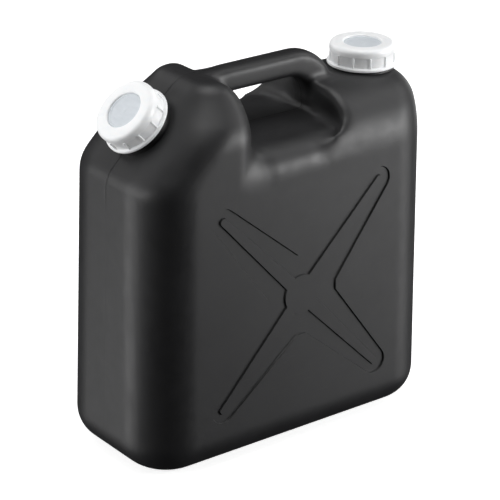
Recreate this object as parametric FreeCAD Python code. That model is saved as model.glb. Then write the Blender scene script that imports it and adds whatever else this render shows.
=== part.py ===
import FreeCAD, Part
import math
import os

# Jerry can with two screw-capped mouths.  Millimetres, +Z up, origin at the centre of the base.
# -X is the pouring end with the slanted mouth, +X the filling end with the upright mouth.

V = FreeCAD.Vector
UP = V(0, 0, 1)

# ---- tank body ----
LENGTH = 340.0              # outside length at the floor
DEPTH = 160.7               # outside depth at the floor
TOP_Z = 365.0               # height of the handle top and the hump top
TAPER_X = 3.4 / 260.0       # each end leans in by this much per mm of height
TAPER_Y = 4.2 / 260.0       # front and back lean in by this much per mm of height
EDGE_R = 48.8               # upright corner radius
FOOT_R = 32.0               # rounding round the base
WALL = 2.2                  # blow-moulded wall
SPLIT_Z = TOP_Z - 91.0      # height at which the body divides into hump, valley and shoulder
CROWN = 0.4                 # rounded outlines are drawn this much above a flat top
CORNER_SHARE = 0.94         # corner radii use at most this share of a section's size

# ---- screw fit: radii about a mouth's axis ----
NECK_R = 27.2
NECK_WALL = 3.7
BORE_R = NECK_R - NECK_WALL
COLLAR_R = NECK_R + 3.8
THREAD_DEPTH = 1.7
THREAD_CLEAR = 0.5          # thread crest to the opposite wall
RING_BORE_R = NECK_R + THREAD_DEPTH + THREAD_CLEAR
PANEL_R = RING_BORE_R + 1.8
DRUM_R = PANEL_R + 0.5
GRIP_R = PANEL_R + 1.3
FLANGE_R = PANEL_R + 2.6
HOLE_R = RING_BORE_R - 11.1
DISC_CLEAR = 0.4            # disc edge to the ring's bore, and boss to the ring's hole
DISC_R = RING_BORE_R - DISC_CLEAR
BOSS_R = HOLE_R - DISC_CLEAR
GASKET_OUT_R = DISC_R - 0.4
GASKET_IN_R = BORE_R - 0.9

# ---- screw fit: heights along a mouth's axis, 0 at the lower edge of the fitted ring ----
NECK_ROOT = -16.0           # the neck starts this far down, inside the tank
COLLAR_TOP = -0.9
COLLAR_ROUND = 2.0
RIM_H = 14.3                # sealing rim
RIM_ROUND = 0.8
GASKET_T = 1.6
DISC_T = 2.0
DISC_GAP = 0.3              # disc to the ring's plate
BOSS_H = 1.5
PLATE_T = 2.8
RING_H = RIM_H + GASKET_T + DISC_T + DISC_GAP + PLATE_T
STEP_H = RING_H - 8.2       # panels and grips end here
FLANGE_H = 2.4
FLANGE_SLOPE = 1.0
DRUM_SLOPE = 0.5
DRUM_ROUND = 4.2
HOLE_ROUND = 1.2
FLANGE_TOP_ROUND = 0.8
FINE_ROUND = 0.5            # light edge breaks on the closure parts
SEAT_ROUND = 0.4
GRIP_COUNT = 12
GRIP_W = 1.6
GRIP_ROUND = 0.45 * GRIP_W
GRIP_PHASE = 5.0
GRIP_BITE = 0.8             # grips are rooted this deep in the panel

# ---- thread ----
PITCH = 6.0
THREAD_BASE = 2.5
THREAD_CREST = 1.1
BITE = 0.25                 # threads are rooted this deep in their wall
RING_THREAD_START = 1.9
NECK_THREAD_START = RING_THREAD_START + PITCH / 2
THREAD_TURNS = (RIM_H - NECK_THREAD_START - THREAD_BASE) / PITCH

# ---- filling shoulder (+X) ----
FILLER_X = LENGTH / 2 - FLANGE_R - 4.5
SHOULDER_Z = TOP_Z - 31.0
FILLER_Z = SHOULDER_Z + 2.0
SHOULDER_LEFT = FILLER_X - FLANGE_R - 40.9  # wall facing the finger gap
SHOULDER_RIM_R = 9.0
SHOULDER_END_R = 23.0       # rounding over the +X end
SHOULDER_ARCH_R = 58.0      # rounding from the top down to the front and back
EAR_X = SHOULDER_LEFT - 45.0                # the shoulder's front and back ears fade out here
POCKET_X = SHOULDER_LEFT + 2.5              # end wall of the finger pocket between the ears
POCKET_Y = 0.408 * DEPTH    # half width of the pocket at its end wall
POCKET_FLARE = 0.167        # each side of the pocket opens by this much per mm towards the hump
POCKET_R = 12.0             # upright corners of the pocket
POCKET_LOW = 14.0           # the pocket is cut this far below the valley floor

# ---- pouring hump (-X) ----
SLANT_DEG = 45.0
SLANT_TOP_X = 83.6 - LENGTH / 2             # the slant meets the top here
SLANT_RISE = TOP_Z - SLANT_TOP_X            # the slant is the plane z = x + SLANT_RISE
SLANT_R = 25.0              # rounding at both ends of the slant
SPOUT_DOWN = 55.8           # mouth axis from the slant's upper end, along the slant
SPOUT_OFF = 7.85            # fitted ring's lower edge above the slant
SPOUT_X = SLANT_TOP_X - (SPOUT_DOWN + SPOUT_OFF) * math.sqrt(0.5)
SPOUT_Z = TOP_Z - (SPOUT_DOWN - SPOUT_OFF) * math.sqrt(0.5)
HUMP_RIGHT = SLANT_TOP_X + 39.9             # steep flank facing the finger gap
HUMP_R = 25.0               # rounding of that flank
HIP_Z = TOP_Z - 38.0        # front plane gives way to the sloping hip here
HIP_TOP_Y = 0.24 * DEPTH    # half depth where the hip slope meets the top
HIP_R = 35.0

# ---- finger valley ----
VALLEY_Z = TOP_Z - 60.8     # ridge of the valley floor on the mid plane
VALLEY_FALL = 2.0           # the floor drops this much on its way to either lip
LIP_Y = 60.0                # where that drop is measured
LIP_R = 25.0
LIP_LEAN = 2.0              # the lip leans in this much between SPLIT_Z and the valley floor
VALLEY_BURY = 50.0          # the valley block runs this far into hump and shoulder

# ---- handle ----
HANDLE_W = 24.0
HANDLE_H = 23.5
HANDLE_TOP_R = 10.0
HANDLE_LOW_R = 6.0
HANDLE_LEFT = HUMP_RIGHT - 29.5             # buried in the hump
LEG_OUT_X = SHOULDER_LEFT - 13.0            # centre of the leg's outer bend
LEG_OUT_R = 46.0
LEG_IN_X = SHOULDER_LEFT - 21.5             # centre of the finger gap's corner bend
LEG_IN_R = 22.5
LEG_LOW_Z = SHOULDER_Z - 22.0               # foot of the leg, buried in the shoulder

# ---- crossed relief on front and back ----
CROSS_X = 2.0
CROSS_Z = 0.422 * TOP_Z
CROSS_TIP_X = 0.269 * LENGTH                # tip centres from the middle
CROSS_TIP_Z = 0.259 * TOP_Z
CROSS_TIP_R = 13.0
CROSS_WAIST = 0.1206 * LENGTH               # middle to the flats between the arms
CROSS_FLAT = 10.0           # length of those flats
CROSS_DEPTH = 1.4
CUT_REACH = 10.0            # cutting tools start this far outside the face
HUB_R = 19.5
RIB_HUB_W = 14.0
RIB_TIP_W = 7.0

# ---- working tolerances ----
NEAR = 0.01                 # two measures closer than this are the same
NEAR_EDGE = 0.05            # two edges whose middles are closer than this are the same
LEVEL_SHARES = (0.0, 0.05, 0.1, 0.15, 0.2, 0.26, 0.34, 0.43, 0.52, 0.61, 0.7, 0.78, 0.85, 0.905,
                0.945, 0.97, 0.987, 1.0)    # section heights, closer together near the top


def half_length(z):
    """Half the outside length at height z."""
    return LENGTH / 2 - TAPER_X * z


def half_depth(z):
    """Half the outside depth at height z."""
    return DEPTH / 2 - TAPER_Y * z


def rounded_outline(points):
    """Turn (value, z, radius) corners into a line of (value, z), each corner rounded in 2 degree steps."""
    line = [points[0][:2]]
    for before, here, after in zip(points, points[1:], points[2:]):
        a = V(before[0] - here[0], before[1] - here[1], 0).normalize()
        b = V(after[0] - here[0], after[1] - here[1], 0).normalize()
        half = math.acos(max(-1.0, min(1.0, a.dot(b)))) / 2
        run = here[2] / math.tan(half)
        middle = V(here[0], here[1], 0) + (a + b).normalize() * (here[2] / math.sin(half))
        start = V(here[0], here[1], 0) + a * run - middle
        end = V(here[0], here[1], 0) + b * run - middle
        swing = math.atan2(start.x * end.y - start.y * end.x, start.dot(end))
        steps = max(2, int(abs(math.degrees(swing)) / 2))
        for k in range(steps + 1):
            t = swing * k / steps
            line.append((middle.x + start.x * math.cos(t) - start.y * math.sin(t),
                         middle.y + start.x * math.sin(t) + start.y * math.cos(t)))
    line.append(points[-1][:2])
    return line


def inset_outline(line, inset):
    """Move an outline inwards, towards value 0 and down, by the wall thickness."""
    if not inset:
        return line
    moved = []
    for k, here in enumerate(line):
        before = line[max(0, k - 1)]
        after = line[min(len(line) - 1, k + 1)]
        run = V(after[0] - before[0], after[1] - before[1], 0).normalize()
        moved.append((here[0] + run.y * inset * side_of(line), here[1] - run.x * inset * side_of(line)))
    moved[0] = (line[0][0] + inset * side_of(line), line[0][1])
    return moved


def side_of(line):
    """-1 for an outline whose value falls on the way up, +1 for one whose value rises."""
    return -1.0 if line[0][0] > line[-1][0] else 1.0


def value_at(line, z):
    """Read an outline at height z."""
    for low, high in zip(line, line[1:]):
        if low[1] <= z <= high[1] and high[1] > low[1]:
            return low[0] + (high[0] - low[0]) * (z - low[1]) / (high[1] - low[1])
    return line[0][0] if z < line[0][1] else line[-1][0]


def section(x0, x1, y, r0, r1, z):
    """Rounded rectangle wire at height z; r0 rounds the x0 corners and r1 the x1 corners."""
    fit = min(1.0, CORNER_SHARE * (x1 - x0) / (r0 + r1), CORNER_SHARE * y / max(r0, r1))
    r0 *= fit
    r1 *= fit
    edges = []

    def arc(cx, cy, r, start):
        pts = [V(cx + r * math.cos(math.radians(start + a)), cy + r * math.sin(math.radians(start + a)), z)
               for a in (0, 45, 90)]
        edges.append(Part.Arc(*pts).toShape())

    def line(ax, ay, bx, by):
        edges.append(Part.makeLine(V(ax, ay, z), V(bx, by, z)))

    line(x0 + r0, -y, x1 - r1, -y)
    arc(x1 - r1, -y + r1, r1, 270)
    line(x1, -y + r1, x1, y - r1)
    arc(x1 - r1, y - r1, r1, 0)
    line(x1 - r1, y, x0 + r0, y)
    arc(x0 + r0, y - r0, r0, 90)
    line(x0, y - r0, x0, -y + r0)
    arc(x0 + r0, -y + r0, r0, 180)
    return Part.Wire(edges)


def levels(top):
    """Section heights from SPLIT_Z to the top, close together where the outlines bend."""
    return [SPLIT_Z + (top - SPLIT_Z) * share for share in LEVEL_SHARES]


def raised_block(left, right, depth, r0, r1, top, inset):
    """Loft a block upwards from SPLIT_Z along three outlines, shrunk by the inset."""
    left = inset_outline(left, inset)
    right = inset_outline(right, inset)
    depth = inset_outline(depth, inset)
    base_y = value_at(depth, SPLIT_Z)
    wires = []
    for z in levels(top - inset):
        y = value_at(depth, z)
        share = y / base_y
        wires.append(section(value_at(left, z), value_at(right, z), y,
                             (r0 - inset) * share, (r1 - inset) * share, z))
    return Part.makeLoft(wires, True, False)


def hump(inset):
    """Slanted pouring hump with its sloping hips."""
    top = TOP_Z + CROWN
    foot_x = -half_length(SPLIT_Z)
    bend_x = -(LENGTH / 2 - TAPER_X * SLANT_RISE) / (1 - TAPER_X)
    mid_x = (top - SLANT_RISE + HUMP_RIGHT) / 2
    left = rounded_outline([(foot_x, SPLIT_Z, 0), (bend_x, bend_x + SLANT_RISE, SLANT_R),
                            (top - SLANT_RISE, top, SLANT_R), (mid_x, top, 0)])
    right = rounded_outline([(HUMP_RIGHT, SPLIT_Z, 0), (HUMP_RIGHT, top, HUMP_R), (mid_x, top, 0)])
    depth = rounded_outline([(half_depth(SPLIT_Z), SPLIT_Z, 0), (half_depth(HIP_Z), HIP_Z, HIP_R),
                             (HIP_TOP_Y, top, HUMP_R), (0, top, 0)])
    return raised_block(left, right, depth, EDGE_R, HUMP_R, TOP_Z, inset)


def shoulder(inset):
    """Arched shoulder carrying the filling mouth."""
    top = SHOULDER_Z + CROWN
    mid_x = (SHOULDER_LEFT + half_length(top)) / 2
    left = rounded_outline([(EAR_X, SPLIT_Z, 0), (EAR_X, top, SHOULDER_RIM_R), (mid_x, top, 0)])
    right = rounded_outline([(half_length(SPLIT_Z), SPLIT_Z, 0), (half_length(top), top, SHOULDER_END_R),
                             (mid_x, top, 0)])
    depth = rounded_outline([(half_depth(SPLIT_Z), SPLIT_Z, 0), (half_depth(top), top, SHOULDER_ARCH_R),
                             (0, top, 0)])
    block = raised_block(left, right, depth, SHOULDER_RIM_R, EDGE_R, SHOULDER_Z, inset)
    return block.cut(pocket(inset))


def pocket(inset):
    """Finger pocket cut from the shoulder, which leaves a thin ear at front and back."""
    end = POCKET_X + inset
    start = EAR_X - POCKET_R
    near = POCKET_Y + inset
    wide = near + POCKET_FLARE * (end - start)
    low = VALLEY_Z - POCKET_LOW - inset
    corners = [V(start, -wide, low), V(end, -near, low), V(end, near, low), V(start, wide, low)]
    prism = Part.Face(Part.makePolygon(corners + [corners[0]])).extrude(V(0, 0, TOP_Z - low))
    upright = [e for e in prism.Edges if e.BoundBox.XMin > end - NEAR and e.BoundBox.YLength < NEAR]
    return prism.makeFillet(POCKET_R + inset, upright)


def valley(inset):
    """Finger valley: a ridge on the mid plane, rolling over a lip to front and back."""
    edge_y = half_depth(SPLIT_Z) - LIP_LEAN
    edge_z = VALLEY_Z - VALLEY_FALL * edge_y / LIP_Y
    line = rounded_outline([(half_depth(SPLIT_Z), SPLIT_Z, 0), (edge_y, edge_z, LIP_R), (0, VALLEY_Z, 0)])
    line = inset_outline(line, inset)
    start = HUMP_RIGHT - VALLEY_BURY
    end = SHOULDER_LEFT + VALLEY_BURY
    crest = V(start, 0, line[-1][1])
    ahead = [V(start, -y, z) for y, z in line[:-1]]
    behind = [V(start, y, z) for y, z in reversed(line[:-1])]
    arc_front = Part.Arc(ahead[1], ahead[len(ahead) // 2], ahead[-1]).toShape()
    arc_back = Part.Arc(behind[0], behind[len(behind) // 2], behind[-2]).toShape()
    wire = Part.Wire([Part.makeLine(ahead[0], ahead[1]), arc_front, Part.makeLine(ahead[-1], crest),
                      Part.makeLine(crest, behind[0]), arc_back, Part.makeLine(behind[-2], behind[-1]),
                      Part.makeLine(behind[-1], ahead[0])])
    return Part.Face(wire).extrude(V(end - start, 0, 0))


def lower_body(inset):
    """Tapered box from the floor to SPLIT_Z with rounded uprights and foot."""
    wires = [section(-half_length(z) + inset, half_length(z) - inset, half_depth(z) - inset,
                     EDGE_R - inset, EDGE_R - inset, z) for z in (inset, SPLIT_Z)]
    box = Part.makeLoft(wires, True, True)
    foot = [e for e in box.Edges if e.BoundBox.ZMax < inset + NEAR]
    return box.makeFillet(FOOT_R - inset, foot)


def handle(inset):
    """Hand grip: straight bar whose +X end bends down into the shoulder."""
    top = TOP_Z - inset
    low = TOP_Z - HANDLE_H + inset
    out_r = LEG_OUT_R - inset
    in_r = LEG_IN_R + inset
    bend_z = TOP_Z - LEG_OUT_R
    in_z = TOP_Z - HANDLE_H - LEG_IN_R
    left = HANDLE_LEFT + inset
    turn = math.radians(45)
    mid_out = V(LEG_OUT_X + out_r * math.sin(turn), 0, bend_z + out_r * math.cos(turn))
    mid_in = V(LEG_IN_X + in_r * math.sin(turn), 0, in_z + in_r * math.cos(turn))
    corner = [V(left, 0, top), V(LEG_OUT_X, 0, top), V(LEG_OUT_X + out_r, 0, bend_z),
              V(LEG_OUT_X + out_r, 0, LEG_LOW_Z), V(LEG_IN_X + in_r, 0, LEG_LOW_Z),
              V(LEG_IN_X + in_r, 0, in_z), V(LEG_IN_X, 0, low), V(left, 0, low)]
    edges = [Part.makeLine(corner[0], corner[1]), Part.Arc(corner[1], mid_out, corner[2]).toShape(),
             Part.makeLine(corner[2], corner[3]), Part.makeLine(corner[3], corner[4]),
             Part.makeLine(corner[4], corner[5]), Part.Arc(corner[5], mid_in, corner[6]).toShape(),
             Part.makeLine(corner[6], corner[7]), Part.makeLine(corner[7], corner[0])]
    width = HANDLE_W - 2 * inset
    face = Part.Face(Part.Wire(edges))
    face.translate(V(0, -width / 2, 0))
    bar = face.extrude(V(0, width, 0))
    upper = []
    under = []
    for edge in bar.Edges:
        box = edge.BoundBox
        if box.YLength > NEAR or box.XMax < left + NEAR:
            continue
        if box.ZMax > top - NEAR or box.XMin > LEG_OUT_X + out_r - NEAR:
            upper.append(edge)
        elif box.ZMax < low + NEAR and box.ZMax > LEG_LOW_Z + NEAR:
            under.append(edge)
    bar = bar.makeFillet(HANDLE_TOP_R - inset, upper)
    under = [e for e in bar.Edges if matches(e, under)]
    return bar.makeFillet(HANDLE_LOW_R - inset, under)


def matches(edge, wanted):
    """True when the edge lies where one of the wanted edges lay."""
    return any(edge.CenterOfMass.distanceToPoint(w.CenterOfMass) < NEAR_EDGE for w in wanted)


def skin(inset):
    """Whole tank envelope, shrunk by the inset."""
    whole = lower_body(inset)
    for block in (hump(inset), shoulder(inset), valley(inset), handle(inset)):
        whole = whole.fuse(block)
    return whole


def cross_outline(depth):
    """Prism of the crossed recess, standing on the front plane and reaching depth into it."""
    edges = []
    corners = []
    for sx, sz in ((1, 1), (-1, 1), (-1, -1), (1, -1)):
        tip = V(sx * CROSS_TIP_X, 0, sz * CROSS_TIP_Z)
        side = V(sx * CROSS_WAIST, 0, sz * CROSS_FLAT / 2)
        high = V(sx * CROSS_FLAT / 2, 0, sz * CROSS_WAIST)
        start, end = (side, high) if sx == sz else (high, side)
        t0 = tangent_point(start, tip, CROSS_TIP_R, -1)
        t1 = tangent_point(end, tip, CROSS_TIP_R, 1)
        far = tip + (tip * (1 / tip.Length)) * CROSS_TIP_R
        edges += [Part.makeLine(start, t0), Part.Arc(t0, far, t1).toShape(), Part.makeLine(t1, end)]
        corners.append((start, end))
    for k, (start, end) in enumerate(corners):
        edges.append(Part.makeLine(end, corners[(k + 1) % 4][0]))
    return Part.Face(Part.Wire(Part.__sortEdges__(edges))).extrude(V(0, depth, 0))


def tangent_point(outside, centre, radius, side):
    """Where the line from a point outside touches a circle in the XZ plane."""
    away = outside - centre
    reach = math.acos(radius / away.Length)
    start = math.atan2(away.z, away.x)
    return centre + V(math.cos(start - side * reach), 0, math.sin(start - side * reach)) * radius


def rib(sx, sz, depth):
    """One tapered rib along an arm of the cross."""
    tip = V(sx * CROSS_TIP_X, 0, sz * CROSS_TIP_Z)
    along = tip * (1 / tip.Length)
    across = V(-along.z, 0, along.x)
    start = across * (RIB_HUB_W / 2)
    t0 = tip + across * (RIB_TIP_W / 2)
    t1 = tip - across * (RIB_TIP_W / 2)
    wire = Part.Wire([Part.makeLine(start, t0), Part.Arc(t0, tip + along * (RIB_TIP_W / 2), t1).toShape(),
                      Part.makeLine(t1, start * -1), Part.makeLine(start * -1, start)])
    return Part.Face(wire).extrude(V(0, depth, 0))


def cross_recess(start, depth, ribbed):
    """Crossed recess tool on the front plane, from start outside it to depth inside it."""
    tool = cross_outline(start + depth)
    if ribbed:
        keep = [rib(sx, sz, start + depth) for sx in (1, -1) for sz in (1, -1)]
        keep.append(Part.makeCylinder(HUB_R, start + depth, V(0, 0, 0), V(0, 1, 0)))
        tool = tool.cut(keep[0].fuse(keep[1:]))
    tool.translate(V(0, -start, 0))
    tool.rotate(V(0, 0, 0), V(1, 0, 0), -math.degrees(math.atan(TAPER_Y)))
    tool.translate(V(CROSS_X, -half_depth(CROSS_Z), CROSS_Z))
    return tool


def both_sides(tool):
    """The tool and its twin turned to the other broad side."""
    twin = tool.mirror(V(0, 0, 0), V(0, 1, 0))
    return [tool, twin]


def revolve(points):
    """Solid of revolution about Z from (radius, height) corners."""
    wire = Part.makePolygon([V(r, 0, h) for r, h in points] + [V(points[0][0], 0, points[0][1])])
    return Part.Face(wire).revolve(V(0, 0, 0), UP, 360)


def ridge(radius, start, outward):
    """Helical thread ridge on a wall of the given radius; outward is +1 or -1."""
    root = radius - outward * BITE
    half = THREAD_BASE / 2
    crest = THREAD_CREST / 2
    reach = outward * (THREAD_DEPTH + BITE)
    helix = Part.makeLongHelix(PITCH, PITCH * THREAD_TURNS, root, 0, False)
    corners = [V(root, 0, -half), V(root + reach, 0, -crest), V(root + reach, 0, crest), V(root, 0, half)]
    profile = Part.makePolygon(corners + [corners[0]])
    solid = Part.Wire(helix.Edges).makePipeShell([profile], True, True)
    solid.translate(V(0, 0, start))
    return solid


def neck():
    """Outside of one mouth in its own frame: neck tube, collar and thread."""
    tube = revolve([(0, NECK_ROOT), (NECK_R, NECK_ROOT), (NECK_R, RIM_H), (0, RIM_H)])
    rim = [e for e in tube.Edges if e.BoundBox.ZMin > RIM_H - NEAR and e.BoundBox.XLength > NECK_R]
    tube = tube.makeFillet(RIM_ROUND, rim)
    collar = Part.makeCylinder(COLLAR_R, COLLAR_TOP - NECK_ROOT, V(0, 0, NECK_ROOT))
    rim = [e for e in collar.Edges if e.BoundBox.ZMin > COLLAR_TOP - NEAR]
    collar = collar.makeFillet(COLLAR_ROUND, rim)
    return tube.fuse(collar)


def place(shape, mouth):
    """Move a shape from a mouth's own frame to the tank."""
    moved = shape.copy()
    if mouth == "spout":
        moved.rotate(V(0, 0, 0), V(0, 1, 0), -SLANT_DEG)
        moved.translate(V(SPOUT_X, 0, SPOUT_Z))
    else:
        moved.translate(V(FILLER_X, 0, FILLER_Z))
    return moved


def tank():
    """Blow-moulded tank with hollow handle, both necks and the crossed relief."""
    outer = skin(0.0)
    hollow = skin(WALL)
    for tool in both_sides(cross_recess(CUT_REACH, CROSS_DEPTH + WALL, False)):
        hollow = hollow.cut(tool)
    bore = Part.makeCylinder(BORE_R, RIM_H - NECK_ROOT + CUT_REACH, V(0, 0, NECK_ROOT))
    for mouth in ("filler", "spout"):
        outer = outer.fuse(place(neck(), mouth))
        hollow = hollow.fuse(place(bore, mouth))
    body = outer.cut(hollow)
    for tool in both_sides(cross_recess(CUT_REACH, CROSS_DEPTH, True)):
        body = body.cut(tool)
    for mouth in ("filler", "spout"):
        body = body.fuse(place(ridge(NECK_R, NECK_THREAD_START, 1), mouth))
    return body


def grip(index):
    """Upright grip rib on the skirt."""
    root = PANEL_R - GRIP_BITE
    bar = Part.makeBox(GRIP_R - root, GRIP_W, STEP_H - FLANGE_H / 2, V(root, -GRIP_W / 2, FLANGE_H / 2))
    upright = [e for e in bar.Edges if e.BoundBox.ZLength > FLANGE_H and e.BoundBox.XMin > GRIP_R - NEAR]
    bar = bar.makeFillet(GRIP_ROUND, upright)
    bar.rotate(V(0, 0, 0), UP, GRIP_PHASE + index * 360.0 / GRIP_COUNT)
    return bar


def screw_ring():
    """Screw ring: flanged skirt with grips, drum, and a top plate with a hole for the disc."""
    under = RING_H - PLATE_T
    shell = revolve([(RING_BORE_R, 0), (FLANGE_R, 0), (FLANGE_R, FLANGE_H),
                     (PANEL_R, FLANGE_H + FLANGE_SLOPE), (PANEL_R, STEP_H), (DRUM_R, STEP_H + DRUM_SLOPE),
                     (DRUM_R, RING_H), (HOLE_R, RING_H), (HOLE_R, under), (RING_BORE_R, under)])
    shell = round_rings(shell, RING_H, DRUM_R, DRUM_ROUND)
    shell = round_rings(shell, RING_H, HOLE_R, HOLE_ROUND)
    shell = round_rings(shell, FLANGE_H, FLANGE_R, FLANGE_TOP_ROUND)
    shell = round_rings(shell, 0, FLANGE_R, FINE_ROUND)
    grips = [grip(k) for k in range(GRIP_COUNT)]
    return shell.fuse(grips + [ridge(RING_BORE_R, RING_THREAD_START, -1)])


def round_rings(shell, height, radius, rounding):
    """Round the circular edges of one radius at one height."""
    rings = []
    for edge in shell.Edges:
        if isinstance(edge.Curve, Part.Circle) and abs(edge.Curve.Radius - radius) < NEAR:
            if abs(edge.BoundBox.ZMin - height) < NEAR and edge.BoundBox.ZLength < NEAR:
                rings.append(edge)
    return shell.makeFillet(rounding, rings)


def sealing_disc():
    """Disc held under the ring's plate, its boss showing through the hole."""
    top = RING_H - PLATE_T - DISC_GAP
    disc = revolve([(0, top - DISC_T), (DISC_R, top - DISC_T), (DISC_R, top), (BOSS_R, top),
                    (BOSS_R, top + BOSS_H), (0, top + BOSS_H)])
    disc = round_rings(disc, top + BOSS_H, BOSS_R, SEAT_ROUND)
    return round_rings(disc, top, DISC_R, FINE_ROUND)


def gasket():
    """Flat ring between the disc and the neck's rim."""
    high = RIM_H + GASKET_T
    ring = revolve([(GASKET_IN_R, RIM_H), (GASKET_OUT_R, RIM_H), (GASKET_OUT_R, high), (GASKET_IN_R, high)])
    ring = round_rings(ring, RIM_H, GASKET_OUT_R, SEAT_ROUND)
    return round_rings(ring, RIM_H, GASKET_IN_R, SEAT_ROUND)


def main():
    """Build every piece and write one file each."""
    os.makedirs("parts", exist_ok=True)
    pieces = {"tank": tank()}
    for mouth in ("filler", "spout"):
        pieces[mouth + "_screw_ring"] = place(screw_ring(), mouth)
        pieces[mouth + "_sealing_disc"] = place(sealing_disc(), mouth)
        pieces[mouth + "_gasket"] = place(gasket(), mouth)
    for name, shape in pieces.items():
        solid = shape.Solids[0]
        print(name, len(shape.Solids), solid.isValid(), round(solid.Volume / 1000, 1), "cm3")
        solid.exportStep("parts/" + name + ".step")


main()
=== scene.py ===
import logging
import math
from dataclasses import dataclass
from enum import Enum
from typing import Callable, Sequence

import bmesh
import bpy
from mathutils import Matrix, Vector


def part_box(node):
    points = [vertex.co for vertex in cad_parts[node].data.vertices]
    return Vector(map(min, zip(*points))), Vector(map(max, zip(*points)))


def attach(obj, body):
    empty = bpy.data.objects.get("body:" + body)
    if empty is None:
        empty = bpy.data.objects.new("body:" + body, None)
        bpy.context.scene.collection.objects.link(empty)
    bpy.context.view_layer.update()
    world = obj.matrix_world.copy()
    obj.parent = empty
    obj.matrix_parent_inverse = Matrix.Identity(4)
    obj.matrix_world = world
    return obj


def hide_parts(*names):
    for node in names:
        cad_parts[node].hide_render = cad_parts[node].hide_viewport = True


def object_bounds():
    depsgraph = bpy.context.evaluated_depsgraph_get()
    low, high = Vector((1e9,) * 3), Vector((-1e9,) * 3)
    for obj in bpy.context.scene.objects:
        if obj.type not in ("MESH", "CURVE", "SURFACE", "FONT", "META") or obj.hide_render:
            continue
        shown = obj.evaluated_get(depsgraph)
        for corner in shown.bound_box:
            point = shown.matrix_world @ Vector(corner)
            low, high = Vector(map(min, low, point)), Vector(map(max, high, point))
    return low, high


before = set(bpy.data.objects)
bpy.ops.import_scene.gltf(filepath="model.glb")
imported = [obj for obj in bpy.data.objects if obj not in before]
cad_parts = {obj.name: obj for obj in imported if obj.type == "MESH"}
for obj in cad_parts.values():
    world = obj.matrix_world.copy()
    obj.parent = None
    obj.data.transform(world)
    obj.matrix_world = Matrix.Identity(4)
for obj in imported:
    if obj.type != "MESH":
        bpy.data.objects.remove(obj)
CAD_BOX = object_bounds()
MM = 0.001
SHARP = 40.0
log = logging.getLogger("jerry_can")

Corner = tuple[float, float, float]
Source = bpy.types.NodeSocket | float


class Mouth(Enum):
    """The two mouths, each with the turn of its axis about Y in degrees."""

    FILLER = 0.0
    SPOUT = -45.0

    def node(self, piece: str) -> str:
        """Name in the frame of one of the mouth's pieces."""
        return f"{self.name.lower()}_{piece}"

    def seat(self, ring_height: float, flange_radius: float) -> Matrix:
        """Matrix from the mouth's own axis frame to the can, read off the fitted ring's box.

        Args:
            ring_height: Height of the screw ring along its axis, mm; not used.
            flange_radius: Largest radius of the ring, mm.

        Returns:
            The 4x4 matrix, in mm.
        """
        low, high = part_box(self.node("screw_ring"))
        turn = math.radians(self.value)
        if self is Mouth.FILLER:
            centre = Vector(((low.x + high.x) / 2, 0.0, low.z)) / MM
        else:
            reach = flange_radius * math.sin(-turn)
            centre = Vector((high.x / MM - reach, 0.0, low.z / MM + reach))
        return Matrix.Translation(centre) @ Matrix.Rotation(turn, 4, "Y")


class Union(Enum):
    """How one mesh is combined with another."""

    ADD = "UNION"
    CUT = "DIFFERENCE"


# ---------------------------------------------------------------- mesh tools


def to_mesh(bm: bmesh.types.BMesh, name: str) -> bpy.types.Mesh:
    """Weld a bmesh, turn its faces outwards and write it to a new mesh.

    Args:
        bm: The finished bmesh, in mm. It is freed.
        name: Name of the mesh.

    Returns:
        The mesh, still in mm.
    """
    bmesh.ops.remove_doubles(bm, verts=bm.verts, dist=1e-4)
    bmesh.ops.recalc_face_normals(bm, faces=bm.faces)
    mesh = bpy.data.meshes.new(name)
    bm.to_mesh(mesh)
    bm.free()
    return mesh


def evaluated(mesh: bpy.types.Mesh, kind: str, **settings: object) -> bpy.types.Mesh:
    """Run one modifier on a mesh and return the result as a new mesh.

    Args:
        mesh: The mesh to work on.
        kind: The modifier's type.
        settings: The modifier's properties by name.

    Returns:
        The modified mesh.
    """
    holder = bpy.data.objects.new("work", mesh)
    bpy.context.scene.collection.objects.link(holder)
    modifier = holder.modifiers.new("work", kind)
    for key, value in settings.items():
        setattr(modifier, key, value)
    graph = bpy.context.evaluated_depsgraph_get()
    result = bpy.data.meshes.new_from_object(holder.evaluated_get(graph))
    bpy.data.objects.remove(holder)
    return result


def combined(mesh: bpy.types.Mesh, tool: bpy.types.Mesh, how: Union) -> bpy.types.Mesh:
    """Add a tool mesh to a mesh, or cut it away.

    Args:
        mesh: The mesh that is kept.
        tool: The mesh that is added or cut away.
        how: Which of the two.

    Returns:
        The combined mesh.
    """
    other = bpy.data.objects.new("tool", tool)
    bpy.context.scene.collection.objects.link(other)
    result = evaluated(mesh, "BOOLEAN", operation=how.value, solver="EXACT", object=other)
    bpy.data.objects.remove(other)
    return result


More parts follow.
